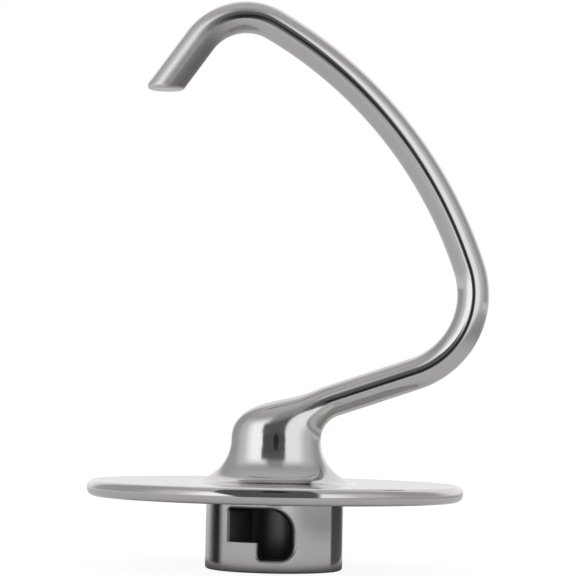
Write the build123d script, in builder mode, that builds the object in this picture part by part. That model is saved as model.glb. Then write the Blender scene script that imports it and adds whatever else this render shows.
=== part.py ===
"""Dough hook for a stand mixer, one casting: drive collar, drip disc, neck and C-shaped hook.

Millimetres. The drive axis is Z, the collar's foot lies on Z = 0, and the hook swings out toward +X.
The bayonet window in the collar faces -Y.
"""
from build123d import *
from math import cos, radians, sin
import os

os.makedirs("parts", exist_ok=True)

# Drive collar, bored for the mixer's shaft
COLLAR_D = 34.0
COLLAR_H = 17.5
COLLAR_ROOT_R = 1.0
FOOT_EDGE_R = 0.7
BORE_D = 16.6
BORE_DEPTH = 22.0
BORE_LEAD = 0.4

# Bayonet window for the drive pin; angles run from the -Y side, positive toward +X
SLOT_START_DEG = -41.4
LEG_START_DEG = -13.1
WINDOW_END_DEG = 16.7
SLOT_H = 8.05
LINTEL_H = 2.2
FOOT_BAND_H = 3.35
SLOT_CORNER_R = 1.0
NOSE_TOP_R = 6.0
NOSE_FLOOR_R = 3.2
LEG_CORNER_R = 1.0
WINDOW_EDGE_R = 0.9

# Keyway in the bore that lets the pin pass inside the band at the foot
KEYWAY_W = 6.6
KEYWAY_R = 14.2

# Drip disc
DISC_D = 93.2
DISC_T = 4.0
DISC_EDGE_R = 1.9

# Neck, an oval post that flares out onto the disc and bends over into the arm. It thins as it bends: its
# breadth in the hook's plane holds up to the shoulder, its depth from front to back goes more slowly.
NECK_D = 22.2
NECK_FLATNESS = 0.6
ROOT_R = 6.4
SHOULDER_DEG = 31.2
SHOULDER_POWER = 2.8
CHEEK_DEG = 32.0
CHEEK_POWER = 2.0
NECK_STEPS = 4

# Hook, a round bar bent in one plane; its arm points at the drive axis, this far above the disc
BAR_D = 8.0
ARM_RISE = 15.6
ARM_SLOPE_DEG = 19.2
ARM_LENGTH = 36.4
ELBOW_R = 21.1
ELBOW_TURN_DEG = 89.6
BOW_R = 110.2
BOW_TURN_DEG = 41.5
CROWN_R = 14.2
CROWN_TURN_DEG = 84.4
TIP_LENGTH = 15.7
TIP_EDGE_R = 1.0

collar_r = COLLAR_D / 2
bore_r = BORE_D / 2
disc_r = DISC_D / 2
disc_top = COLLAR_H + DISC_T
window_top = COLLAR_H - LINTEL_H
lock_sill = window_top - SLOT_H
leg_middle = (LEG_START_DEG + WINDOW_END_DEG) / 2
cut_in = (bore_r + KEYWAY_R) / 2

# The neck bends about a level line beside it, which the arm's underside and the flare's top both come round
bend_turn = 90 - ARM_SLOPE_DEG
bend_x = NECK_D / 2 + ROOT_R
arm_off = BAR_D / 2 + ROOT_R
arm_from = (bend_x - arm_off * sin(radians(ARM_SLOPE_DEG))) / cos(radians(ARM_SLOPE_DEG))
bend_z = (
    disc_top
    + ARM_RISE
    + arm_from * sin(radians(ARM_SLOPE_DEG))
    - arm_off * cos(radians(ARM_SLOPE_DEG))
)
flare_r = bend_z - disc_top
flare_x = NECK_D / 2 + flare_r


def radial_plane(angle):
    """Upright plane through the drive axis; its x runs outward at this angle from the -Y side."""
    outward = Vector(sin(radians(angle)), -cos(radians(angle)), 0)
    return Plane(origin=(0, 0, 0), x_dir=outward, z_dir=outward.cross(Vector(0, 0, 1)))


def half_size(waist, turn, half_gone, power):
    """Half the neck's breadth or depth after this much of its bend."""
    left = (1 - (turn / bend_turn) ** 2) ** 2 / (1 + (turn / half_gone) ** power)
    return (BAR_D + (waist - BAR_D) * left) / 2


# Neck, from the waist over to the arm
with BuildPart() as neck:
    for step in range(NECK_STEPS + 1):
        turn = bend_turn * step / NECK_STEPS
        breadth = half_size(NECK_D, turn, SHOULDER_DEG, SHOULDER_POWER)
        depth = half_size(NECK_D * NECK_FLATNESS, turn, CHEEK_DEG, CHEEK_POWER)
        outward = Vector(-cos(radians(turn)), 0, sin(radians(turn)))
        middle = Vector(bend_x, 0, bend_z) + outward * (ROOT_R + breadth)
        with BuildSketch(Plane(origin=middle, x_dir=outward, z_dir=Vector(0, 1, 0).cross(outward))):
            Ellipse(breadth, depth)
    loft()

# Flare from the disc up to the waist, turned round and then flattened like the neck
with BuildPart() as flare:
    with BuildSketch(radial_plane(-90)):
        with BuildLine():
            RadiusArc((flare_x, disc_top), (NECK_D / 2, bend_z), flare_r)
            Polyline((NECK_D / 2, bend_z), (0, bend_z), (0, COLLAR_H + DISC_T / 2))
            Polyline((0, COLLAR_H + DISC_T / 2), (flare_x, COLLAR_H + DISC_T / 2), (flare_x, disc_top))
        make_face()
    revolve(axis=Axis.Z)
    scale(by=(1, NECK_FLATNESS, 1))

# Cutter for the J-shaped window: the locking slot above its sill, and the leg that the pin comes up
with BuildPart() as window:
    for start, floor in ((SLOT_START_DEG, lock_sill), (LEG_START_DEG, FOOT_BAND_H)):
        with BuildSketch(radial_plane(start)):
            with Locations((cut_in, floor)):
                Rectangle(COLLAR_D, window_top - floor, align=(Align.MIN, Align.MIN))
        revolve(axis=Axis.Z, revolution_arc=WINDOW_END_DEG - start)
    for angle, height, radius in (
        (SLOT_START_DEG, window_top, SLOT_CORNER_R),
        (WINDOW_END_DEG, window_top, NOSE_TOP_R),
        (WINDOW_END_DEG, FOOT_BAND_H, NOSE_FLOOR_R),
        (LEG_START_DEG, FOOT_BAND_H, LEG_CORNER_R),
    ):
        corner = radial_plane(angle).from_local_coords((collar_r, height))
        fillet(window.edges().sort_by_distance(corner)[0], radius)

with BuildPart() as dough_hook:
    # Bar of the hook, run on past its tip
    with BuildLine(Plane.XZ):
        axis_point = PolarLine((0, disc_top + ARM_RISE), arm_from, ARM_SLOPE_DEG, mode=Mode.PRIVATE) @ 1
        arm = PolarLine(axis_point, ARM_LENGTH - arm_from, ARM_SLOPE_DEG)
        elbow = JernArc(arm @ 1, arm % 1, ELBOW_R, ELBOW_TURN_DEG)
        bow = JernArc(elbow @ 1, elbow % 1, BOW_R, BOW_TURN_DEG)
        crown = JernArc(bow @ 1, bow % 1, CROWN_R, CROWN_TURN_DEG)
        tip = Line(crown @ 1, crown @ 1 + (crown % 1) * (TIP_LENGTH + BAR_D))
    with BuildSketch(Plane(origin=arm @ 0, x_dir=(0, 1, 0), z_dir=arm % 0)):
        Circle(BAR_D / 2)
    sweep()

    # Level cut across the tip, with its edge broken
    with Locations(crown @ 1 + (crown % 1) * TIP_LENGTH):
        Box(
            4 * BAR_D,
            2 * BAR_D,
            2 * BAR_D,
            align=(Align.CENTER, Align.CENTER, Align.MAX),
            mode=Mode.SUBTRACT,
        )
    fillet(dough_hook.faces().sort_by_distance(tip @ 1)[0].edges(), TIP_EDGE_R)
    add(neck.part)

    # Disc and collar, turned about the drive axis
    with BuildSketch(radial_plane(-90)) as turned:
        with BuildLine():
            Polyline((0, 0), (collar_r, 0), (collar_r, COLLAR_H), (disc_r, COLLAR_H), (disc_r, disc_top))
            Polyline((disc_r, disc_top), (0, disc_top), (0, 0))
        make_face()
        for corner, radius in (
            ((disc_r, COLLAR_H), DISC_EDGE_R),
            ((disc_r, disc_top), DISC_EDGE_R),
            ((collar_r, COLLAR_H), COLLAR_ROOT_R),
            ((collar_r, 0), FOOT_EDGE_R),
        ):
            fillet(turned.vertices().sort_by_distance(corner)[0], radius)
    revolve(axis=Axis.Z)
    add(flare.part)

    # Bore, with its mouth eased
    with BuildSketch(radial_plane(-90)):
        with BuildLine():
            Polyline((0, 0), (bore_r + BORE_LEAD, 0), (bore_r, BORE_LEAD), (bore_r, BORE_DEPTH))
            Polyline((bore_r, BORE_DEPTH), (0, BORE_DEPTH), (0, 0))
        make_face()
    revolve(axis=Axis.Z, mode=Mode.SUBTRACT)

    # Keyway up the bore, in line with the window's leg
    with BuildSketch():
        Circle(KEYWAY_R)
        Rectangle(
            KEYWAY_W,
            COLLAR_D,
            rotation=leg_middle,
            align=(Align.CENTER, Align.MAX),
            mode=Mode.INTERSECT,
        )
    extrude(amount=window_top, mode=Mode.SUBTRACT)

    # Window, and the room behind its slot for the pin's end to turn in from the keyway
    add(window.part, mode=Mode.SUBTRACT)
    with BuildSketch(radial_plane(SLOT_START_DEG)):
        with Locations((0, lock_sill)):
            Rectangle(KEYWAY_R, SLOT_H, align=(Align.MIN, Align.MIN))
    revolve(axis=Axis.Z, revolution_arc=leg_middle - SLOT_START_DEG, mode=Mode.SUBTRACT)

    # Eased edge round the window's mouth; the sill stays sharp for the pin
    outside = dough_hook.faces().sort_by_distance((0, collar_r, COLLAR_H / 2))[0]
    mouth = outside.inner_wires()[0].edges()
    fillet(mouth.filter_by(lambda edge: abs(edge.center().Z - lock_sill) > 1e-3), WINDOW_EDGE_R)

dough_hook.part.label = "dough_hook"
export_step(dough_hook.part, "parts/dough_hook.step")
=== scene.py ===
# %% [markdown]
# # A polished dough hook
# A dough hook is one casting: a collar that slips on the mixer's shaft, a disc that keeps dough off the
# machine, a flattened neck and a round bar bent into a C. It is ground and polished all over, so what the eye
# sees is mostly mirrored studio. Two things make such a metal piece look right: surfaces that curve without
# the smallest flat spot, and something worth mirroring around it.
#
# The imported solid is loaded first. It fixes the place and size of everything that follows, in metres.

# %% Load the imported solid
import bmesh
import bpy
import numpy as np
from math import asin, cos, pi, radians, sin
from mathutils import Matrix, Vector


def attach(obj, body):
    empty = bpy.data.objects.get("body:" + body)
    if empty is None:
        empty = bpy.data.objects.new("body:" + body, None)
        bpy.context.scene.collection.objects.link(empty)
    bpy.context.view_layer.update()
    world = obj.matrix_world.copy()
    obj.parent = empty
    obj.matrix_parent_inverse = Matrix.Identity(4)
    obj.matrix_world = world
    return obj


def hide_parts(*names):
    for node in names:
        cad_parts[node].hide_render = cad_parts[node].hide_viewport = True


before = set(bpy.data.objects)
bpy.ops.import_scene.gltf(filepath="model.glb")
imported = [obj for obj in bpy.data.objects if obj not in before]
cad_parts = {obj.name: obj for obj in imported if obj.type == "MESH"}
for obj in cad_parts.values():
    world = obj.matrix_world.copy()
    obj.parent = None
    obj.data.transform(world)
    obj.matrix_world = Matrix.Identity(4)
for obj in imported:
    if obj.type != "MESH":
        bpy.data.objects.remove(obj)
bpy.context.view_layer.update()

# %% [markdown]
# ## Small helpers for node trees
# Geometry, materials and the world are all node trees. A helper that makes a node, sets its choices and fills
# its sockets in one line keeps the later cells short: a value that is itself a socket becomes a link, and
# anything else becomes the socket's own number. The others stand for the few kinds of node that come back
# all the time: a sum, a vector sum, a ramp, a band with soft edges and a blend.

# %% Node helpers
MM = 0.001
RISING, FALLING = (0.0, 1.0), (1.0, 0.0)


def add_node(tree, kind, sockets=None, **choices):
    """A new node with its choices set and its input sockets filled with numbers or links."""
    node = tree.nodes.new(kind)
    for name, choice in choices.items():
        setattr(node, name, choice)
    for key, value in (sockets or {}).items():
        if isinstance(value, bpy.types.NodeSocket):
            tree.links.new(value, node.inputs[key])
        else:
            node.inputs[key].default_value = value
    return node


def calc(tree, operation, *values):
    """One Math node; returns its result."""
    return add_node(tree, "ShaderNodeMath", dict(enumerate(values)), operation=operation).outputs[0]


def vector_calc(tree, operation, *values):
    """One Vector Math node; returns its outputs, Vector and Value."""
    return add_node(tree, "ShaderNodeVectorMath", dict(enumerate(values)), operation=operation).outputs


def hypot(tree, first, second):
    """Length of the diagonal over two sides."""
    squares = [calc(tree, "POWER", side, 2.0) for side in (first, second)]
    return calc(tree, "SQRT", calc(tree, "ADD", *squares))


def ramp(tree, value, start, end, ends=RISING, easing="SMOOTHSTEP"):
    """From one of the ends to the other, while the value goes from start to end."""
    sockets = {"Value": value, "From Min": start, "From Max": end, "To Min": ends[0], "To Max": ends[1]}
    return add_node(tree, "ShaderNodeMapRange", sockets, interpolation_type=easing).outputs["Result"]


def soft_band(tree, value, low, low_soft, high, high_soft):
    """1 between two limits, easing to 0 over the soft width outside each."""
    return calc(tree, "MULTIPLY", ramp(tree, value, low - low_soft, low),
                ramp(tree, value, high, high + high_soft, FALLING))


def blend(tree, share, first, second, kind="FLOAT"):
    """The first value moved toward the second by a share: numbers, or colours with the kind RGBA."""
    low, high, result = (2, 3, 0) if kind == "FLOAT" else (6, 7, 2)
    mix = add_node(tree, "ShaderNodeMix", {0: share, low: first, high: second}, data_type=kind)
    return mix.outputs[result]


# %% [markdown]
# ## The bar's path: one rule for straights and bends
# The bar is bent in one plane from a straight arm, a tight elbow, a long slow bow, a tight crown and a
# straight tip. A Bezier curve drawn by eye would look close, but its curvature would wander, and a mirror
# finish shows that as wobbling lines. So the path follows a rule: walking along the bar, each stretch adds
# its own share of the way. A stretch of length L that turns by an angle T has, after a distance d, turned by
# a = T d / L, and its chord is d sin(a/2) / (a/2), pointing half way through the turn. With T near 0 that is
# a straight line, so one node group serves for all five stretches.

# %% Node group for one stretch of the bar
NEVER_ZERO = 1e-7


def make_stretch_group():
    tree = bpy.data.node_groups.new("bar_stretch", "GeometryNodeTree")
    for name in ("Along", "Start", "Length", "Heading", "Turn"):
        tree.interface.new_socket(name=name, in_out="INPUT", socket_type="NodeSocketFloat")
    tree.interface.new_socket(name="Share", in_out="OUTPUT", socket_type="NodeSocketVector")
    given = add_node(tree, "NodeGroupInput").outputs
    past_start = calc(tree, "MAXIMUM", calc(tree, "SUBTRACT", given["Along"], given["Start"]), 0.0)
    walked = calc(tree, "MINIMUM", past_start, given["Length"])
    turned = calc(tree, "DIVIDE", calc(tree, "MULTIPLY", given["Turn"], walked), given["Length"])
    half = calc(tree, "ADD", calc(tree, "MULTIPLY", turned, 0.5), NEVER_ZERO)
    chord = calc(tree, "MULTIPLY", walked, calc(tree, "DIVIDE", calc(tree, "SINE", half), half))
    heading = calc(tree, "ADD", given["Heading"], half)
    share = add_node(tree, "ShaderNodeCombineXYZ", {
        "X": calc(tree, "MULTIPLY", chord, calc(tree, "COSINE", heading)),
        "Z": calc(tree, "MULTIPLY", chord, calc(tree, "SINE", heading)),
    })
    add_node(tree, "NodeGroupOutput", {"Share": share.outputs[0]})
    return tree


stretch_group = make_stretch_group()
print("stretch group:", len(stretch_group.nodes), "nodes")

# %% [markdown]
# ## The bar as a Geometry Nodes tree
# A line of evenly spaced points is laid along the path by Set Position, and Curve to Mesh sweeps a circle
# along it. Every size is a named input of the tree, so a longer arm or a tighter crown is one number.
# The plain tube starts a little outside the neck and stops short of the tip, because both ends get shapes of
# their own.

# %% Tree for the bar
BAR_INPUTS = ("Root height", "Bar radius", "Arm slope", "First ring", "Last ring")
STRETCHES = ("Arm", "Elbow", "Bow", "Crown", "Tip")


def make_bar_tree():
    tree = bpy.data.node_groups.new("bent_bar", "GeometryNodeTree")
    tree.is_modifier = True
    tree.interface.new_socket(name="Geometry", in_out="INPUT", socket_type="NodeSocketGeometry")
    names = [name + part for name in STRETCHES for part in (" length", " turn")]
    for name in (*BAR_INPUTS, *names):
        tree.interface.new_socket(name=name, in_out="INPUT", socket_type="NodeSocketFloat")
    for name in ("Rings", "Sides"):
        tree.interface.new_socket(name=name, in_out="INPUT", socket_type="NodeSocketInt")
    tree.interface.new_socket(name="Finish", in_out="INPUT", socket_type="NodeSocketMaterial")
    tree.interface.new_socket(name="Geometry", in_out="OUTPUT", socket_type="NodeSocketGeometry")
    given = add_node(tree, "NodeGroupInput").outputs

    line = add_node(tree, "GeometryNodeCurvePrimitiveLine")
    points = add_node(tree, "GeometryNodeResampleCurve", {"Curve": line.outputs[0], "Count": given["Rings"]})
    factor = add_node(tree, "GeometryNodeSplineParameter").outputs["Factor"]
    span = calc(tree, "SUBTRACT", given["Last ring"], given["First ring"])
    along = calc(tree, "MULTIPLY_ADD", factor, span, given["First ring"])

    place = add_node(tree, "ShaderNodeCombineXYZ", {"Z": given["Root height"]}).outputs[0]
    start, heading = 0.0, given["Arm slope"]
    for name in STRETCHES:
        length, turn = given[name + " length"], given[name + " turn"]
        share = add_node(tree, "GeometryNodeGroup",
                         {"Along": along, "Start": start, "Length": length, "Heading": heading, "Turn": turn},
                         node_tree=stretch_group)
        place = vector_calc(tree, "ADD", place, share.outputs[0])["Vector"]
        start = calc(tree, "ADD", start, length)
        heading = calc(tree, "ADD", heading, turn)
    path = add_node(tree, "GeometryNodeSetPosition", {"Geometry": points.outputs[0], "Position": place})

    circle = add_node(tree, "GeometryNodeCurvePrimitiveCircle",
                      {"Resolution": given["Sides"], "Radius": given["Bar radius"]})
    tube = add_node(tree, "GeometryNodeCurveToMesh",
                    {"Curve": path.outputs[0], "Profile Curve": circle.outputs[0]})
    real = add_node(tree, "GeometryNodeRealizeInstances", {"Geometry": tube.outputs[0]})
    steel = add_node(tree, "GeometryNodeSetMaterial",
                     {"Geometry": real.outputs[0], "Material": given["Finish"]})
    add_node(tree, "NodeGroupOutput", {"Geometry": steel.outputs[0]})
    return tree


bar_tree = make_bar_tree()
print("bar tree:", len(bar_tree.nodes), "nodes")

# %% [markdown]
# ## Bend the bar
# The sizes are the part's own. Only the lengths of the bends are worked out, as radius times angle. The steel
# is made now as an empty material and gets its nodes later, so that the tree has something to set.

# %% Sizes of the bar, and the swept tube
BAR_R = 4.0 * MM
ARM_LENGTH = 36.4 * MM
TIP_LENGTH = 15.7 * MM
ARM_SLOPE = radians(19.2)
ELBOW_R, ELBOW_TURN = 21.1 * MM, radians(89.6)
BOW_R, BOW_TURN = 110.2 * MM, radians(41.5)
CROWN_R, CROWN_TURN = 14.2 * MM, radians(84.4)
BAR_START_Z = 37.1 * MM
SIDES = 192
RINGS = 200
TIP_ALLOWANCE = 4.4 * MM
NECK_R = 11.1 * MM
ROOT_R = 6.4 * MM

lengths = [ARM_LENGTH, ELBOW_R * ELBOW_TURN, BOW_R * BOW_TURN, CROWN_R * CROWN_TURN, TIP_LENGTH]
turns = [0.0, ELBOW_TURN, BOW_TURN, CROWN_TURN, 0.0]
plain_to = sum(lengths) - TIP_ALLOWANCE
bend_x = NECK_R + ROOT_R
plain_from = (bend_x - (BAR_R + ROOT_R) * sin(ARM_SLOPE)) / cos(ARM_SLOPE)
polished_steel = bpy.data.materials.new("polished_steel")


def evaluated_mesh(holder):
    """The plain mesh that an object's modifiers give."""
    bpy.context.view_layer.update()
    graph = bpy.context.evaluated_depsgraph_get()
    return bpy.data.meshes.new_from_object(holder.evaluated_get(graph))


def run_tree(tree, values):
    """The plain mesh that a Geometry Nodes tree makes from these named values."""
    holder = bpy.data.objects.new(tree.name, bpy.data.meshes.new(tree.name))
    bpy.context.scene.collection.objects.link(holder)
    modifier = holder.modifiers.new(tree.name, "NODES")
    modifier.node_group = tree
    for socket in tree.interface.items_tree:
        if socket.item_type == "SOCKET" and socket.in_out == "INPUT" and socket.name in values:
            modifier[socket.identifier] = values[socket.name]
    mesh = evaluated_mesh(holder)
    bpy.data.objects.remove(holder)
    return mesh


bar_values = {"Root height": BAR_START_Z, "Bar radius": BAR_R, "Arm slope": ARM_SLOPE,
              "First ring": plain_from, "Last ring": plain_to, "Rings": RINGS, "Sides": SIDES,
              "Finish": polished_steel}
for name, length, turn in zip(STRETCHES, lengths, turns):
    bar_values[name + " length"] = length
    bar_values[name + " turn"] = turn
bar_mesh = run_tree(bar_tree, bar_values)
bar_points = np.empty((len(bar_mesh.vertices), 3), np.float32)
bar_mesh.vertices.foreach_get("co", bar_points.ravel())
bar_points = bar_points.astype(float)
print("bar:", len(bar_points), "points, box mm", np.round(1000 * np.ptp(bar_points, axis=0), 2))

# %% [markdown]
# ## Skins from rows of points
# The rest of the casting is laid up as rows: each row has one point for each side of the bar, and two rows
# make a band of quads. That way every band meets its neighbour point for point, and the seams can be welded.

# %% Helpers for rows
def swing(start, end, share):
    """Unit vectors a share of the way round from start to end."""
    angle = np.arccos(np.clip((start * end).sum(-1, keepdims=True), -1, 1))
    return (np.sin((1 - share) * angle) * start + np.sin(share * angle) * end) / np.sin(angle)


def skin(rows, close_at=None):
    """Points and faces of bands between closed rows; close_at is a last point that ends them in a fan."""
    sides = len(rows[0])
    points = np.concatenate(rows)
    faces = []
    for row in range(len(rows) - 1):
        low, high = row * sides, (row + 1) * sides
        for side in range(sides):
            after = (side + 1) % sides
            faces.append((low + side, low + after, high + after, high + side))
    if close_at is not None:
        last, tip = (len(rows) - 1) * sides, len(points)
        points = np.concatenate([points, [close_at]])
        faces += [(last + side, last + (side + 1) % sides, tip) for side in range(sides)]
    return points, faces


def around(ring, centre, across, sideways):
    """The outward unit vector at each point of a ring about a bar's centre."""
    spoke = ring - centre
    angle = np.arctan2(spoke @ sideways, spoke @ across)
    return np.cos(angle)[:, None] * across + np.sin(angle)[:, None] * sideways


# %% [markdown]
# ## The neck: a flattened post that bends over and thins
# On the real casting the post above the disc leans over and becomes the arm, with no line between them. A
# ball with a bar stuck in it and a Bevel between them looks wrong at once in polished metal, because the
# mirrored lines jump at the bevel. So the neck is one skin of oval rings, broad in the hook's plane and
# flattened from front to back. All rings turn about one level line beside the neck, from the level waist over
# to the arm's first ring. That makes the underside a clean arc. A ring's breadth holds up to the shoulder and
# then drops quickly, while its depth goes more slowly. Both rules start and end without a slope, so the neck
# runs smoothly into the post and the bar.

# %% Rows of the neck
NECK_FLATNESS = 0.6
SHOULDER, SHOULDER_POWER = radians(31.2), 2.8
CHEEK, CHEEK_POWER = radians(32.0), 2.0
NECK_ROWS = 56
SIDEWAYS = np.array([0.0, 1.0, 0.0])

bend_turn = pi / 2 - ARM_SLOPE
bend_z = BAR_START_Z + plain_from * sin(ARM_SLOPE) - (BAR_R + ROOT_R) * cos(ARM_SLOPE)
bend_middle = np.array([bend_x, 0, bend_z])


def half_size(waist, turn, half_gone, power):
    """Half the neck's breadth or depth after this much of its bend."""
    left = (1 - (turn / bend_turn) ** 2) ** 2 / (1 + (turn / half_gone) ** power)
    return BAR_R + (waist - BAR_R) * left


first_ring = bar_points[:SIDES]
arm_up = np.array([-sin(ARM_SLOPE), 0, cos(ARM_SLOPE)])
spokes = first_ring - (bend_middle + (ROOT_R + BAR_R) * arm_up)
ring_angles = np.arctan2(spokes @ SIDEWAYS, spokes @ arm_up)[:, None]
neck_rows = [first_ring]
for turn in np.linspace(bend_turn, 0, NECK_ROWS + 1)[1:]:
    breadth = half_size(NECK_R, turn, SHOULDER, SHOULDER_POWER)
    depth = half_size(NECK_R * NECK_FLATNESS, turn, CHEEK, CHEEK_POWER)
    outward = np.array([-cos(turn), 0, sin(turn)])
    middle = bend_middle + (ROOT_R + breadth) * outward
    in_plane, in_depth = breadth * np.cos(ring_angles) * outward, depth * np.sin(ring_angles) * SIDEWAYS
    neck_rows.append(middle + in_plane + in_depth)
neck_skin = skin(neck_rows)
waist_ring = neck_rows[-1]
print("neck bends about x %.2f, z %.2f mm" % (1000 * bend_x, 1000 * bend_z))

# %% [markdown]
# ## The tip: cut level, with its edge broken
# The bar is sawn off level, so the cut is a long oval, and a quick pass on the polishing wheel takes the
# sharp edge away. The broken edge is what a small ball would leave that rolls round inside the bar's end.

# %% Rows of the tip
TIP_EDGE_R = 1.0 * MM
TIP_ROWS, TIP_EDGE_ROWS = 5, 12
CUT_ROWS = (0.94, 0.7, 0.4)
DOWN = np.array([0.0, 0.0, -1.0])

tip_heading = ARM_SLOPE + sum(turns)
tip_way = np.array([cos(tip_heading), 0, sin(tip_heading)])
tip_across = np.array([-sin(tip_heading), 0, cos(tip_heading)])
last_ring = bar_points[-SIDES:]
last_centre = last_ring.mean(0)
cut_centre = last_centre + TIP_ALLOWANCE * tip_way
tip_spokes = around(last_ring, last_centre, tip_across, SIDEWAYS)
ball_out = (BAR_R - TIP_EDGE_R) * tip_spokes
edge_from = (cut_centre[2] + TIP_EDGE_R - last_centre[2] - ball_out[:, 2]) / tip_way[2]
edge_ball = last_centre + edge_from[:, None] * tip_way + ball_out

tip_rows = [last_ring]
for row in range(1, TIP_ROWS + 1):
    along = edge_from * row / TIP_ROWS
    tip_rows.append(last_centre + along[:, None] * tip_way + BAR_R * tip_spokes)
for row in range(1, TIP_EDGE_ROWS + 1):
    lean = swing(tip_spokes, np.tile(DOWN, (SIDES, 1)), row / TIP_EDGE_ROWS)
    tip_rows.append(edge_ball + TIP_EDGE_R * lean)
cut_rim = tip_rows[-1]
for share in CUT_ROWS:
    tip_rows.append(cut_centre + share * (cut_rim - cut_centre))
tip_skin = skin(tip_rows, close_at=cut_centre)
print("tip cut at %.2f mm, %.2f mm out" % (1000 * cut_centre[2], 1000 * cut_centre[0]))

# %% [markdown]
# ## The drive end, spun from one outline
# Disc, collar and bore are all round, so one outline spun about the drive axis gives them. The flare on top
# of the disc follows the same outline, flattened like the neck. The outline has its arcs written out, with
# more points where it curves hard. A Screw modifier would spin it too, but it can't flatten the flare, and
# its first row would not meet the neck's waist ring point for point.

# %% Outline of the drive end
COLLAR_H = 17.5 * MM
DISC_T = 4.0 * MM
DISC_TOP = COLLAR_H + DISC_T
DISC_R = 46.6 * MM
DISC_EDGE_R = 1.9 * MM
COLLAR_R = 17.0 * MM
COLLAR_ROOT_R = 1.0 * MM
FOOT_EDGE_R = 0.7 * MM
BORE_R = 8.3 * MM
BORE_LEAD = 0.4 * MM
BORE_DEPTH = 22.0 * MM
FLARE_STEPS, TOP_STEPS, RIM_STEPS, UNDERSIDE_STEPS = 36, 14, 14, 8
ROOT_STEPS, WALL_STEPS, FOOT_EDGE_STEPS, FOOT_STEPS, BORE_STEPS = 8, 10, 7, 3, 6


def arc(centre_r, centre_z, radius, from_deg, to_deg, steps):
    """Points of an arc in the outline, as (distance from the axis, height)."""
    angles = np.radians(np.linspace(from_deg, to_deg, steps + 1))
    return [(centre_r + radius * cos(a), centre_z + radius * sin(a)) for a in angles]


def run(start, end, steps):
    """Points between two ends of a straight piece of the outline, the ends left out."""
    return [tuple(np.array(start) + (np.array(end) - start) * s / steps) for s in range(1, steps)]


flare_r = bend_z - DISC_TOP
flare_x = NECK_R + flare_r
rim_r = DISC_R - DISC_EDGE_R
root_r = COLLAR_R + COLLAR_ROOT_R
root_z = COLLAR_H - COLLAR_ROOT_R
foot_r = COLLAR_R - FOOT_EDGE_R
outline = arc(flare_x, bend_z, flare_r, 180, 270, FLARE_STEPS)
outline += run((flare_x, DISC_TOP), (rim_r, DISC_TOP), TOP_STEPS)
rim_row = len(outline)
outline += arc(rim_r, DISC_TOP - DISC_EDGE_R, DISC_EDGE_R, 90, 0, RIM_STEPS)
outline += arc(rim_r, COLLAR_H + DISC_EDGE_R, DISC_EDGE_R, 0, -90, RIM_STEPS)
outline += run((rim_r, COLLAR_H), (root_r, COLLAR_H), UNDERSIDE_STEPS)
outline += arc(root_r, root_z, COLLAR_ROOT_R, 90, 180, ROOT_STEPS)
outline += run((COLLAR_R, root_z), (COLLAR_R, FOOT_EDGE_R), WALL_STEPS)
outline += arc(foot_r, FOOT_EDGE_R, FOOT_EDGE_R, 0, -90, FOOT_EDGE_STEPS)
outline += run((foot_r, 0), (BORE_R + BORE_LEAD, 0), FOOT_STEPS)
outline += [(BORE_R + BORE_LEAD, 0), (BORE_R, BORE_LEAD)]
outline += run((BORE_R, BORE_LEAD), (BORE_R, BORE_DEPTH), BORE_STEPS)
outline += [(BORE_R, BORE_DEPTH), (BORE_R / 2, BORE_DEPTH)]
print("outline:", len(outline), "points")

# %% [markdown]
# On the flat top of the disc the rows go over from the flare's oval to the rim's circle. All of them lie in
# one plane there, so the change leaves no trace in the mirror.

# %% Spin the outline
turned_rows = [waist_ring]
for row, (radius, height) in enumerate(outline[1:], 1):
    roundness = np.clip((radius - flare_x) / (rim_r - flare_x), 0, 1) if row < rim_row else 1.0
    flatness = NECK_FLATNESS + (1 - NECK_FLATNESS) * roundness
    row_points = np.hstack([-radius * np.cos(ring_angles), radius * flatness * np.sin(ring_angles)])
    turned_rows.append(np.column_stack([row_points, np.full(SIDES, height)]))
turned_points, turned_faces = skin(turned_rows, close_at=(0, 0, BORE_DEPTH))
turned_faces.append(tuple(range(SIDES)))
print("drive end:", len(turned_faces), "faces")

# %% [markdown]
# ## The bayonet window
# The mixer's shaft has a pin through it. The pin comes up a keyway in the bore, and a turn takes it into a
# slot where it locks. On the collar's front that shows as a J-shaped window: a slot with a level sill, a leg,
# and a rounded nose. The window is cut with a Boolean, as a milling cutter does it. The cutter is a stack of
# J-shaped loops that widens at the collar's face along a quarter circle, which leaves the eased edge round
# the mouth. Each point of the J knows which way its edge faces, and moves that way as the cutter widens. The
# sill's points don't move up or down, because the sill is left sharp for the pin.

# %% Loops of the J
SLOT_START, LEG_START, WINDOW_END = radians(-41.4), radians(-13.1), radians(16.7)
WINDOW_TOP = 15.3 * MM
LOCK_SILL = 7.25 * MM
LEG_FLOOR = 3.35 * MM
SLOT_CORNER_R, NOSE_TOP_R, NOSE_FLOOR_R, LEG_CORNER_R = 1.0 * MM, 6.0 * MM, 3.2 * MM, 1.0 * MM
CORNER_STEPS = 14
EDGE_STEPS = (18, 5, 8, 3, 8, 6)


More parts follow.
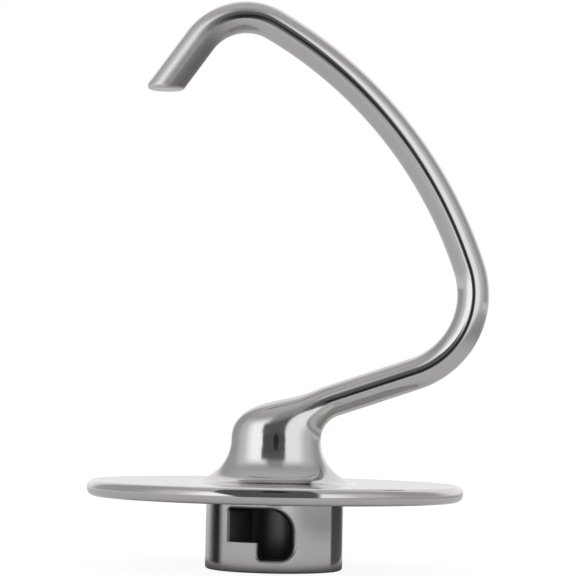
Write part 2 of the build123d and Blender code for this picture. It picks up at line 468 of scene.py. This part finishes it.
def j_loop(radius, widen):
    """The J at this distance from the drive axis, with its edges moved out by widen."""
    def corner(jamb, side, height, size, from_deg):
        leans = np.radians(np.linspace(from_deg, from_deg - 90, CORNER_STEPS + 1))
        return [(jamb + asin((side * size + (size + widen) * cos(lean)) / radius),
                 height + (size + widen) * sin(lean)) for lean in leans]

    ease = asin(widen / radius)
    pieces = [
        corner(SLOT_START, 1, WINDOW_TOP - SLOT_CORNER_R, SLOT_CORNER_R, 180),
        corner(WINDOW_END, -1, WINDOW_TOP - NOSE_TOP_R, NOSE_TOP_R, 90),
        corner(WINDOW_END, -1, LEG_FLOOR + NOSE_FLOOR_R, NOSE_FLOOR_R, 0),
        corner(LEG_START, 1, LEG_FLOOR + LEG_CORNER_R, LEG_CORNER_R, -90),
        [(LEG_START - ease, LOCK_SILL)],
        [(SLOT_START - ease, LOCK_SILL)],
    ]
    loop = []
    for piece, after, steps in zip(pieces, pieces[1:] + pieces[:1], EDGE_STEPS):
        loop += piece + run(piece[-1], after[0], steps)
    return np.array([(radius * sin(angle), -radius * cos(angle), height) for angle, height in loop])


print("J outline:", len(j_loop(COLLAR_R, 0.0)), "points")

# %% Cutters for the window and the keyway
MOUTH_EDGE_R = 0.9 * MM
MOUTH_STEPS = 10
MOUTH_STOP = radians(78)
PAST_FACE = 0.04 * MM
CUTTER_REACH = 1.2 * COLLAR_R
KEYWAY_W = 6.6 * MM
KEYWAY_R = 14.2 * MM
KEYWAY_POINTS = 13
KEYWAY_FROM = -1 * MM


def closed_solid(name, points, faces):
    """An object of its own from a closed skin, faces turned outward."""
    mesh = bpy.data.meshes.new(name)
    mesh.from_pydata([tuple(p) for p in points], [], faces)
    work = bmesh.new()
    work.from_mesh(mesh)
    bmesh.ops.recalc_face_normals(work, faces=work.faces)
    work.to_mesh(mesh)
    work.free()
    made = bpy.data.objects.new(name, mesh)
    bpy.context.scene.collection.objects.link(made)
    return made


mouth_r = COLLAR_R - MOUTH_EDGE_R
deep_r = (BORE_R + KEYWAY_R) / 2
deep_loop = j_loop(deep_r, 0.0)
cutter_loops = [deep_loop * (BORE_R / 2 / deep_r, BORE_R / 2 / deep_r, 1), deep_loop]
for lean in np.linspace(0, MOUTH_STOP, MOUTH_STEPS + 1):
    cutter_loops.append(j_loop(mouth_r + MOUTH_EDGE_R * sin(lean), MOUTH_EDGE_R * (1 - cos(lean))))
last_step = COLLAR_R + PAST_FACE - mouth_r - MOUTH_EDGE_R * sin(MOUTH_STOP)
widest = MOUTH_EDGE_R * (1 - cos(MOUTH_STOP)) + last_step * sin(MOUTH_STOP) / cos(MOUTH_STOP)
cutter_loops.append(j_loop(COLLAR_R + PAST_FACE, widest))
cutter_loops.append(cutter_loops[-1] * (1, 0, 1) + (0, -CUTTER_REACH, 0))
cut_points, cut_faces = skin(cutter_loops)
count = len(deep_loop)
cut_faces += [tuple(range(count)), tuple(range(len(cut_points) - count, len(cut_points)))]
window_cutter = closed_solid("window_cutter", cut_points, cut_faces)

leg_middle = (LEG_START + WINDOW_END) / 2
half_key = asin(KEYWAY_W / 2 / KEYWAY_R)
key_out = np.array([sin(leg_middle), -cos(leg_middle)])
key_side = np.array([cos(leg_middle), sin(leg_middle)])
key_shape = [-KEYWAY_W / 2 * key_side, KEYWAY_W / 2 * key_side]
for angle in np.linspace(half_key, -half_key, KEYWAY_POINTS):
    key_shape.append(KEYWAY_R * (cos(angle) * key_out + sin(angle) * key_side))
key_rows = [np.array([(*p, z) for p in key_shape]) for z in (KEYWAY_FROM, WINDOW_TOP)]
key_points, key_faces = skin(key_rows)
sides = len(key_shape)
key_faces += [tuple(range(sides)), tuple(range(sides, 2 * sides))]
keyway_cutter = closed_solid("keyway_cutter", key_points, key_faces)
print("window cutter:", len(cut_faces), "faces; keyway cutter:", len(key_faces), "faces")

# %% Cut the keyway and the window
drive_end = closed_solid("drive_end", turned_points, turned_faces)
for cutter in (keyway_cutter, window_cutter):
    cut = drive_end.modifiers.new(cutter.name, "BOOLEAN")
    cut.operation, cut.solver, cut.object = "DIFFERENCE", "EXACT", cutter
drive_mesh = evaluated_mesh(drive_end)
for helper in (drive_end, window_cutter, keyway_cutter):
    bpy.data.objects.remove(helper)
print("drive end after cutting:", len(drive_mesh.polygons), "faces")

# %% [markdown]
# ## Weld the casting
# Tube, neck, tip and drive end become one skin. The lid that closed the drive end for the Boolean goes,
# points that lie on each other are merged, and a count of open edges shows whether the skin is tight.

# %% Weld
WELD = 0.002 * MM


def weld_casting():
    work = bmesh.new()
    work.from_mesh(drive_mesh)
    lids = [f for f in work.faces if all(abs(v.co.z - bend_z) < WELD for v in f.verts)]
    bmesh.ops.delete(work, geom=lids, context="FACES_ONLY")
    work.from_mesh(bar_mesh)
    for points, faces in (neck_skin, tip_skin):
        made = [work.verts.new(p) for p in points]
        for face in faces:
            work.faces.new([made[i] for i in face])
    bmesh.ops.remove_doubles(work, verts=work.verts, dist=WELD)
    bmesh.ops.dissolve_degenerate(work, edges=work.edges, dist=WELD)
    bmesh.ops.recalc_face_normals(work, faces=work.faces)
    open_edges = sum(not e.is_manifold for e in work.edges)
    mesh = bpy.data.meshes.new("hook_casting")
    for face in work.faces:
        face.smooth = True
        face.material_index = 0
    work.to_mesh(mesh)
    volume = work.calc_volume()
    work.free()
    mesh.materials.clear()
    mesh.materials.append(polished_steel)
    return mesh, open_edges, len(lids), volume


casting_mesh, open_edges, lids, volume = weld_casting()
hook_casting = bpy.data.objects.new("hook_casting", casting_mesh)
bpy.context.scene.collection.objects.link(hook_casting)
casting_mesh.calc_loop_triangles()
print("casting:", len(casting_mesh.loop_triangles), "triangles,", open_edges, "open edges,",
      lids, "lid removed,", round(volume * 1e9), "mm3")

# %% [markdown]
# ## Normals for a mirror
# A mirror shows the normals, not the facets. Edges that turn by more than about a third of a right angle
# stay sharp, and the rest is smooth. Where the Boolean has cut the collar's wall, its corners see only half
# of their neighbours and would lean a little, so the wall gets its true normals, straight out from the drive
# axis.

# %% Set the normals
SHARP_FROM = radians(32)
NEAR = 0.004 * MM
UPRIGHT, FACING = 0.02, 0.95


def set_mirror_normals(mesh):
    mesh.set_sharp_from_angle(angle=SHARP_FROM)
    normals = np.empty((len(mesh.loops), 3), np.float32)
    mesh.corner_normals.foreach_get("vector", normals.ravel())
    points = np.empty((len(mesh.vertices), 3), np.float32)
    mesh.vertices.foreach_get("co", points.ravel())
    corners = np.empty(len(mesh.loops), np.int32)
    mesh.loops.foreach_get("vertex_index", corners)
    sizes = np.empty(len(mesh.polygons), np.int32)
    mesh.polygons.foreach_get("loop_total", sizes)
    flat = np.empty((len(mesh.polygons), 3), np.float32)
    mesh.polygons.foreach_get("normal", flat.ravel())
    upright_face = np.repeat(np.abs(flat[:, 2]) < UPRIGHT, sizes)
    spot = points[corners]
    out = np.maximum(np.hypot(spot[:, 0], spot[:, 1]), NEAR)
    in_height = (spot[:, 2] > FOOT_EDGE_R - NEAR) & (spot[:, 2] < root_z + NEAR)
    on_wall = (np.abs(out - COLLAR_R) < NEAR) & in_height
    outward = np.stack([spot[:, 0] / out, spot[:, 1] / out, np.zeros(len(out))], 1)
    facing_out = (np.repeat(flat, sizes, axis=0) * outward).sum(1) > FACING
    wall = on_wall & upright_face & facing_out
    normals[wall] = outward[wall]
    mesh.normals_split_custom_set(normals.tolist())
    return int(wall.sum())


print("wall corners with true normals:", set_mirror_normals(casting_mesh))

# %% [markdown]
# ## Polished steel
# The finish is a bright polish, not chrome: very smooth, with faint lines left by the polishing mops and a
# little unevenness in the gloss. Metallic 1 takes the tint of every mirrored thing from the base colour, so
# the colour is the warm light grey of stainless steel. Three noises work on it in Object coordinates: a slow
# one that shifts the tone and the gloss, one that lies in rings about the drive axis, and a fine one. The
# last two are felt only as grain in the bump.
#
# The polish isn't the same all over. No mop reaches into the bore, so there, round the window's mouth and
# under the foot's edge the steel stays as it was machined, with a duller gloss, and a dark tone there is
# painted shade in these hollows. The tip is ground to a paler satin, and its inner side, toward the hook's
# gap, gets a darker tone that is painted shade. How near a point is to the centre that the crown
# bends about tells the bar's inner side from its outer one.

# %% Nodes of the polished steel
STEEL_LIGHT = (0.640, 0.629, 0.617, 1.0)
STEEL_DARK = (0.600, 0.589, 0.577, 1.0)
GLOSS_RANGE, GLOSS_SLOW = (0.07, 0.12), (0.3, 0.7)
# Scale, detail and roughness of each noise
SLOW_NOISE, RING_NOISE, FINE_NOISE = (60.0, 3.0, 0.55), (1500.0, 2.0, 0.5), (2600.0, 1.0, 0.5)
RING_SHARE, FINE_SHARE = 0.7, 0.3
GRAIN_STRENGTH, GRAIN_DEPTH = 0.03, 0.02 * MM
# Machined gloss in the bore, the window's mouth and the foot; the dark tone there is painted shade in these
# hollows.
MACHINED_SHADE_TONE, MACHINED_GLOSS = (0.24, 0.236, 0.23, 1.0), 0.38
MACHINED_SHADE_IN, MACHINED_SHADE_OUT = COLLAR_R - 0.25 * MM, COLLAR_R - 0.02 * MM
MACHINED_SHADE_TOP = DISC_TOP - 0.1 * MM
SATIN_TONE, SATIN_GLOSS = (0.72, 0.71, 0.70, 1.0), 0.36
SATIN_TO, POLISHED_FROM = 14 * MM, 30 * MM
# Painted shade: a darker tone on the tip's inner side, toward the hook's gap.
TIP_SHADE_TONE = (0.28, 0.268, 0.262, 1.0)
TIP_SHADE_IN, TIP_SHADE_OUT = CROWN_R - 1.4 * MM, CROWN_R + 0.1 * MM
CUT_TO, SIDE_FROM = cut_centre[2] + 0.2 * MM, cut_centre[2] + 0.7 * MM

crown_end = cut_centre - TIP_LENGTH * tip_way
inner_way = (-tip_way[2], 0.0, tip_way[0])


def make_polished_steel(material):
    material.use_nodes = True
    tree = material.node_tree
    tree.nodes.clear()

    def noise(where, scale, detail, roughness):
        sockets = {"Vector": where, "Scale": scale, "Detail": detail, "Roughness": roughness}
        return add_node(tree, "ShaderNodeTexNoise", sockets).outputs["Fac"]

    place = add_node(tree, "ShaderNodeTexCoord").outputs["Object"]
    axes = add_node(tree, "ShaderNodeSeparateXYZ", {"Vector": place}).outputs
    out = hypot(tree, axes["X"], axes["Y"])
    ring_place = add_node(tree, "ShaderNodeCombineXYZ", {"X": out, "Z": axes["Z"]}).outputs[0]
    slow = noise(place, *SLOW_NOISE)
    rings = noise(ring_place, *RING_NOISE)
    fine = noise(place, *FINE_NOISE)

    # Painted shade and machined gloss: the bore, the window's mouth and the foot's underside.
    machined_and_shaded = calc(tree, "MULTIPLY", ramp(tree, out, MACHINED_SHADE_IN, MACHINED_SHADE_OUT, FALLING, "LINEAR"),
                    calc(tree, "LESS_THAN", axes["Z"], MACHINED_SHADE_TOP))
    from_tip = vector_calc(tree, "DISTANCE", place, tuple(cut_centre))["Value"]
    satin = ramp(tree, from_tip, SATIN_TO, POLISHED_FROM, FALLING)
    from_crown = vector_calc(tree, "SUBTRACT", place, tuple(crown_end))["Vector"]
    along = vector_calc(tree, "DOT_PRODUCT", from_crown, tuple(-tip_way))["Value"]
    inward = vector_calc(tree, "DOT_PRODUCT", from_crown, inner_way)["Value"]
    to_bend_centre = hypot(tree, calc(tree, "MAXIMUM", along, 0.0), calc(tree, "SUBTRACT", CROWN_R, inward))
    inner = ramp(tree, to_bend_centre, TIP_SHADE_IN, TIP_SHADE_OUT, FALLING)
    above_cut = ramp(tree, axes["Z"], CUT_TO, SIDE_FROM, RISING, "LINEAR")
    # Painted shade on the tip's inner side, within the satin and above the cut.
    tip_shade = calc(tree, "MULTIPLY", calc(tree, "MULTIPLY", satin, inner), above_cut)

    tone = blend(tree, slow, STEEL_DARK, STEEL_LIGHT, "RGBA")
    # The satin tone is the tip's own finish; the other two tones are painted shade.
    for share, colour in ((satin, SATIN_TONE), (tip_shade, TIP_SHADE_TONE), (machined_and_shaded, MACHINED_SHADE_TONE)):
        tone = blend(tree, share, tone, colour, "RGBA")
    gloss = ramp(tree, slow, *GLOSS_SLOW, GLOSS_RANGE, "LINEAR")
    gloss = blend(tree, machined_and_shaded, blend(tree, satin, gloss, SATIN_GLOSS), MACHINED_GLOSS)
    grain = calc(tree, "ADD", calc(tree, "MULTIPLY", rings, RING_SHARE),
                 calc(tree, "MULTIPLY", fine, FINE_SHARE))
    bump = add_node(tree, "ShaderNodeBump",
                    {"Strength": GRAIN_STRENGTH, "Distance": GRAIN_DEPTH, "Height": grain})
    steel = add_node(tree, "ShaderNodeBsdfPrincipled",
                     {"Base Color": tone, "Metallic": 1.0, "Roughness": gloss,
                      "Normal": bump.outputs["Normal"]})
    add_node(tree, "ShaderNodeOutputMaterial", {"Surface": steel.outputs[0]})


make_polished_steel(polished_steel)
print("polished steel:", len(polished_steel.node_tree.nodes), "nodes")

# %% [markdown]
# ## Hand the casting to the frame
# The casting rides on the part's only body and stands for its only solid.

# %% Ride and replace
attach(hook_casting, "root")
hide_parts("dough_hook")

# %% [markdown]
# ## A pale table
# The hook stands upside down on its collar on a pale table that ends nearly half a metre in front. Seen
# directly, the table is as white as the backdrop, and only the hook's own soft shadow marks it. The steel
# mirrors it as a grey with a glow of painted light, paler far away, and darker toward the right as painted
# shade. Under the disc, where little light gets in, the glow fades out as a painted shadow.

# %% Table
TABLE_FRONT, TABLE_HALF = 0.46, 3.0
TABLE_COLOUR = (0.60, 0.60, 0.60, 1.0)
# Painted shade: a darker table colour in a band toward the right, not seen by the camera.
TABLE_RIGHT_SHADE = (0.20, 0.20, 0.20, 1.0)
TABLE_SEEN = (0.20, 0.20, 0.20, 1.0)
GLOW_SEEN, GLOW_MIRRORED, GLOW_FAR = 0.91, 0.24, 0.16
# The glow that mirrored rays see is painted light: it starts only past these distances from the drive axis,
# leaving a painted shadow under the disc, and grows paler far away.
OPEN_FROM, OPEN_TO = 0.025, 0.05
FAR_FROM, FAR_TO = 0.15, 0.60
RIGHT_SHADE_BAND = (0.22, 0.10, 0.45, 0.50)
WHITE = (1.0, 1.0, 1.0, 1.0)


def make_pale_table(material):
    material.use_nodes = True
    tree = material.node_tree
    tree.nodes.clear()
    path = add_node(tree, "ShaderNodeLightPath").outputs
    place = add_node(tree, "ShaderNodeTexCoord").outputs["Object"]
    to_right = add_node(tree, "ShaderNodeSeparateXYZ", {"Vector": place}).outputs["X"]
    from_axis = vector_calc(tree, "LENGTH", place)["Value"]
    # Painted shadow under the disc and painted light far away, in the table's glow for mirrored rays.
    glow_past_painted_shadow = calc(tree, "MULTIPLY", ramp(tree, from_axis, OPEN_FROM, OPEN_TO), GLOW_MIRRORED)
    painted_table_glow = calc(tree, "MULTIPLY_ADD", ramp(tree, from_axis, FAR_FROM, FAR_TO), GLOW_FAR, glow_past_painted_shadow)
    mirrored = calc(tree, "ADD", path["Is Glossy Ray"], path["Is Transmission Ray"])
    glow = calc(tree, "ADD", calc(tree, "MULTIPLY", path["Is Camera Ray"], GLOW_SEEN),
                calc(tree, "MULTIPLY", mirrored, painted_table_glow))
    # Painted shade in a band toward the right, hidden from the camera.
    lit = blend(tree, soft_band(tree, to_right, *RIGHT_SHADE_BAND), TABLE_COLOUR, TABLE_RIGHT_SHADE, "RGBA")
    colour = blend(tree, path["Is Camera Ray"], lit, TABLE_SEEN, "RGBA")
    shine = add_node(tree, "ShaderNodeEmission", {"Color": WHITE, "Strength": glow})
    matt = add_node(tree, "ShaderNodeBsdfDiffuse", {"Color": colour})
    both = add_node(tree, "ShaderNodeAddShader", {0: shine.outputs[0], 1: matt.outputs[0]})
    add_node(tree, "ShaderNodeOutputMaterial", {"Surface": both.outputs[0]})


table_mesh = bpy.data.meshes.new("table")
table_mesh.from_pydata([(-TABLE_HALF, -TABLE_FRONT, 0), (TABLE_HALF, -TABLE_FRONT, 0),
                        (TABLE_HALF, TABLE_HALF, 0), (-TABLE_HALF, TABLE_HALF, 0)], [], [(0, 1, 2, 3)])
table = bpy.data.objects.new("table", table_mesh)
bpy.context.scene.collection.objects.link(table)
pale = bpy.data.materials.new("pale_table")
make_pale_table(pale)
table_mesh.materials.append(pale)
print("table from", -TABLE_FRONT, "to", TABLE_HALF, "m")

# %% [markdown]
# ## Three dark cards
# A pale round collar in front of a white backdrop would lose its edges. Photographers put a dark card on each
# side, just out of sight, and the metal draws itself a dark outline. Here two low cards stand under the disc
# on both sides of the collar, with ends that fade. Only mirrored rays see the cards, so the camera looks
# through them and they cast no shadow.
#
# A third card stands close in front of the disc. It gives the front of the neck its dark patch, with the
# lens as a darker oval in it, and the rim its dark strip. A card that is near looks wide to the rim and
# narrower to the neck behind it, which no light far away can do. It leans in, so that the crown sees it edge
# on. The neck sees only its upper part and the rim only its foot, so the two are shaped apart: the lens ends
# at the neck's height, and toward the foot the left side slants in and softens.

# %% Cards
SIDE_CARD_X, SIDE_CARD_H = 38 * MM, 16.8 * MM
LEFT_TONE, RIGHT_TONE = 0.2, 0.5
LEFT_SPAN = (-2 * MM, 9 * MM, 2 * MM, 24 * MM)
RIGHT_SPAN = (0.0, 1 * MM, 32 * MM, 80 * MM)
NECK_FRONT = (-3.2 * MM, -7 * MM, 32 * MM)
FRONT_CARD_Y, FRONT_CARD_FOOT, FRONT_CARD_LEAN = -60 * MM, 18 * MM, 0.59
FRONT_SPAN = (-20 * MM, 3 * MM, 19.4 * MM, 3 * MM)
FRONT_TOP, FRONT_TOP_SOFT, FRONT_FOOT_SOFT = 14 * MM, 4 * MM, 1 * MM
RIM_LEFT, RIM_SOFT, RIM_SLANT = -9 * MM, 5 * MM, 0.85
FRONT_TONE, LENS_TONE = 0.11, 0.03
LENS_CENTRE, LENS_HALF = (4.0 * MM, 0.0), (4.6 * MM, 12.5 * MM)
LENS_FROM, LENS_FULL = -3 * MM, -1.5 * MM
OVAL_EDGE = (0.7, 1.5)


def stand_card(name, corners, paint):
    """A card that only mirrored rays see; paint gives the share of it that shows, and its dark shader."""
    mesh = bpy.data.meshes.new(name)
    mesh.from_pydata(corners, [], [(0, 1, 2, 3)])
    paper = bpy.data.materials.new(name)
    paper.use_nodes = True
    tree = paper.node_tree
    tree.nodes.clear()
    place = add_node(tree, "ShaderNodeTexCoord").outputs["Object"]
    shown, dark = paint(tree, add_node(tree, "ShaderNodeSeparateXYZ", {"Vector": place}).outputs)
    clear = add_node(tree, "ShaderNodeBsdfTransparent")
    both = add_node(tree, "ShaderNodeMixShader", {0: shown, 1: clear.outputs[0], 2: dark.outputs[0]})
    add_node(tree, "ShaderNodeOutputMaterial", {"Surface": both.outputs[0]})
    mesh.materials.append(paper)
    card = bpy.data.objects.new(name, mesh)
    card.visible_camera = card.visible_shadow = card.visible_diffuse = False
    bpy.context.scene.collection.objects.link(card)


def stand_side_card(name, x, tone, span):
    """A card beside the collar; the span gives its ends along Y, each with the soft width outside it."""
    def paint(tree, axes):
        dark = add_node(tree, "ShaderNodeBsdfDiffuse", {"Color": (tone, tone, tone, 1.0)})
        return soft_band(tree, axes["Y"], *span), dark

    low, high = span[0] - span[1], span[2] + span[3]
    stand_card(name, [(x, low, 0), (x, high, 0), (x, high, SIDE_CARD_H), (x, low, SIDE_CARD_H)], paint)


def oval(tree, across, up, centre, half_sizes):
    """1 inside an oval, easing to 0 round its edge."""
    out = [calc(tree, "POWER", calc(tree, "DIVIDE", calc(tree, "SUBTRACT", value, middle), half), 2.0)
           for value, middle, half in zip((across, up), centre, half_sizes)]
    return ramp(tree, calc(tree, "ADD", *out), *OVAL_EDGE, FALLING)


def stand_front_card(name):
    """The card in front. Its limits are measured as the neck sees them, as if the card stood upright."""
    neck_x, neck_y, neck_z = NECK_FRONT
    narrowing = FRONT_CARD_LEAN / (neck_y - FRONT_CARD_Y)

    def paint(tree, axes):
        height = calc(tree, "SUBTRACT", axes["Z"], FRONT_CARD_FOOT)
        nearness = calc(tree, "SUBTRACT", 1.0, calc(tree, "MULTIPLY", height, narrowing))
        across = calc(tree, "DIVIDE", calc(tree, "SUBTRACT", axes["X"], neck_x), nearness)
        up = calc(tree, "DIVIDE", calc(tree, "SUBTRACT", axes["Z"], neck_z), nearness)
        rise = (FRONT_CARD_FOOT - neck_z, FRONT_FOOT_SOFT, FRONT_TOP, FRONT_TOP_SOFT)
        shown = calc(tree, "MULTIPLY", soft_band(tree, across, *FRONT_SPAN), soft_band(tree, up, *rise))
        slant = calc(tree, "ADD", across, calc(tree, "MULTIPLY", height, RIM_SLANT))
        shown = calc(tree, "MULTIPLY", shown, ramp(tree, slant, RIM_LEFT - RIM_SOFT, RIM_LEFT))
        lens = calc(tree, "MULTIPLY", oval(tree, across, up, LENS_CENTRE, LENS_HALF),
                    ramp(tree, up, LENS_FROM, LENS_FULL))
        tone = blend(tree, lens, FRONT_TONE, LENS_TONE)
        return shown, add_node(tree, "ShaderNodeEmission", {"Color": WHITE, "Strength": tone})

    low, high = neck_x + FRONT_SPAN[0] - FRONT_SPAN[1], neck_x + FRONT_SPAN[2] + FRONT_SPAN[3]
    foot, head = FRONT_CARD_FOOT, neck_z + FRONT_TOP + FRONT_TOP_SOFT
    near, far = FRONT_CARD_Y + FRONT_CARD_LEAN * (head - foot), FRONT_CARD_Y
    stand_card(name, [(low, far, foot), (high, far, foot), (high, near, head), (low, near, head)], paint)


stand_side_card("card_left", -SIDE_CARD_X, LEFT_TONE, LEFT_SPAN)
stand_side_card("card_right", SIDE_CARD_X, RIGHT_TONE, RIGHT_SPAN)
stand_front_card("card_front")
print("cards: two at %d mm beside the axis, one %d mm in front" % (1000 * SIDE_CARD_X, -1000 * FRONT_CARD_Y))

# %% [markdown]
# ## The studio that the steel mirrors
# A polished hook is photographed in a tent of white cloth. Two soft boxes light the cloth from the left and
# the right, the backdrop behind is white, and a slit in front lets the lens look in. The slit, with the lens
# as a black oval in it, is what draws the dark line down the middle of the bar. It is narrow at the lens,
# wider above it, and grey where it ends. Here the tent is the world: its brightness is written by direction,
# from an azimuth, which is 0 toward the lens and positive to the right, and an elevation.

# %% Studio
CLOTH, TOP_CLOTH = 0.46, 0.60
TOP_FROM, TOP_FULL = 45, 75
# Limits in degrees: from and its soft width, to and its soft width; first across, then upward.
# Each soft box is a wide glow with a brighter middle.
SOFT_BOXES = (
    (0.75, (-62, 36, -11, 4), (0, 12, 36, 22)),
    (1.42, (-36, 30, -11, 4), (2, 12, 30, 20)),
    (0.72, (11, 4, 54, 40), (0, 12, 36, 22)),
    (1.20, (11, 4, 34, 24), (2, 12, 30, 20)),
)
OVER_SLIT = (-9, 12, 7, 12), (28, 8, 40, 22)
LOW_SLIT = (-10, 5, 10, 5), (-40, 5, 12, 6)
HIGH_SLIT = (-21, 4, 12, 5), (15, 6, 28, 14)
BACKDROP = (-22, 24, 42, 26), (7.5, 16, 50, 24)
OVER_SLIT_TONE, SLIT_TONE, SLIT_LENS_TONE = 0.36, 0.13, 0.02
SLIT_LENS_CENTRE, SLIT_LENS_HALF = (0.5, 0.5), (5.0, 14.0)


def make_studio(tree):
    tree.nodes.clear()
    way = add_node(tree, "ShaderNodeTexCoord").outputs["Generated"]
    axes = add_node(tree, "ShaderNodeSeparateXYZ", {"Vector": way}).outputs
    to_front = calc(tree, "MULTIPLY", axes["Y"], -1.0)
    azimuth = calc(tree, "DEGREES", calc(tree, "ARCTAN2", axes["X"], to_front))
    from_back = calc(tree, "DEGREES", calc(tree, "ARCTAN2", axes["X"], axes["Y"]))
    elevation = calc(tree, "DEGREES", calc(tree, "ARCSINE", axes["Z"]))

    def patch(round_about, across, upward):
        return calc(tree, "MULTIPLY", soft_band(tree, round_about, *across),
                    soft_band(tree, elevation, *upward))

    light = blend(tree, ramp(tree, elevation, TOP_FROM, TOP_FULL), CLOTH, TOP_CLOTH)
    for level, across, upward in SOFT_BOXES:
        light = blend(tree, patch(azimuth, across, upward), light, level)
    light = blend(tree, patch(azimuth, *OVER_SLIT), light, OVER_SLIT_TONE)
    slit = calc(tree, "MAXIMUM", patch(azimuth, *LOW_SLIT), patch(azimuth, *HIGH_SLIT))
    light = blend(tree, slit, light, SLIT_TONE)
    lens = oval(tree, azimuth, elevation, SLIT_LENS_CENTRE, SLIT_LENS_HALF)
    light = blend(tree, lens, light, SLIT_LENS_TONE)

    # The white backdrop is seen directly and in the steel
    path = add_node(tree, "ShaderNodeLightPath").outputs
    mirrored = calc(tree, "ADD", path["Is Glossy Ray"], path["Is Transmission Ray"])
    white = calc(tree, "ADD", path["Is Camera Ray"],
                 calc(tree, "MULTIPLY", mirrored, patch(from_back, *BACKDROP)))
    sky = add_node(tree, "ShaderNodeBackground",
                   {"Color": WHITE, "Strength": blend(tree, white, light, 1.0)})
    add_node(tree, "ShaderNodeOutputWorld", {"Surface": sky.outputs[0]})


world = bpy.data.worlds.new("studio")
bpy.context.scene.world = world
world.use_nodes = True
make_studio(world.node_tree)
print("studio:", len(world.node_tree.nodes), "nodes")

# %% [markdown]
# ## The camera
# The photograph was taken with a long lens from half a metre away, a little below the middle of the hook and
# looking slightly up, with the horizon about one degree off level.

# %% Camera
LENS_MM, SENSOR_MM = 135.0, 36.0
LENS_AT = Vector((2.236, -538.8, 38.54)) * MM
PITCH, ROLL = 0.05803, 0.0198
NEAREST, FARTHEST = 0.01, 20.0

ahead = Vector((0, cos(PITCH), sin(PITCH)))
level_right = Vector((1, 0, 0))
level_up = level_right.cross(ahead)
right_way = cos(ROLL) * level_right + sin(ROLL) * level_up
up_way = cos(ROLL) * level_up - sin(ROLL) * level_right
camera_data = bpy.data.cameras.new("camera")
camera_data.lens, camera_data.sensor_width = LENS_MM, SENSOR_MM
camera_data.clip_start, camera_data.clip_end = NEAREST, FARTHEST
camera = bpy.data.objects.new("camera", camera_data)
bpy.context.scene.collection.objects.link(camera)
turned_to = Matrix((right_way, up_way, -ahead)).transposed().to_4x4()
camera.matrix_world = Matrix.Translation(LENS_AT) @ turned_to
bpy.context.scene.camera = camera
bpy.context.scene.view_settings.view_transform = "Standard"
print("camera at", [round(1000 * x, 1) for x in LENS_AT], "mm")
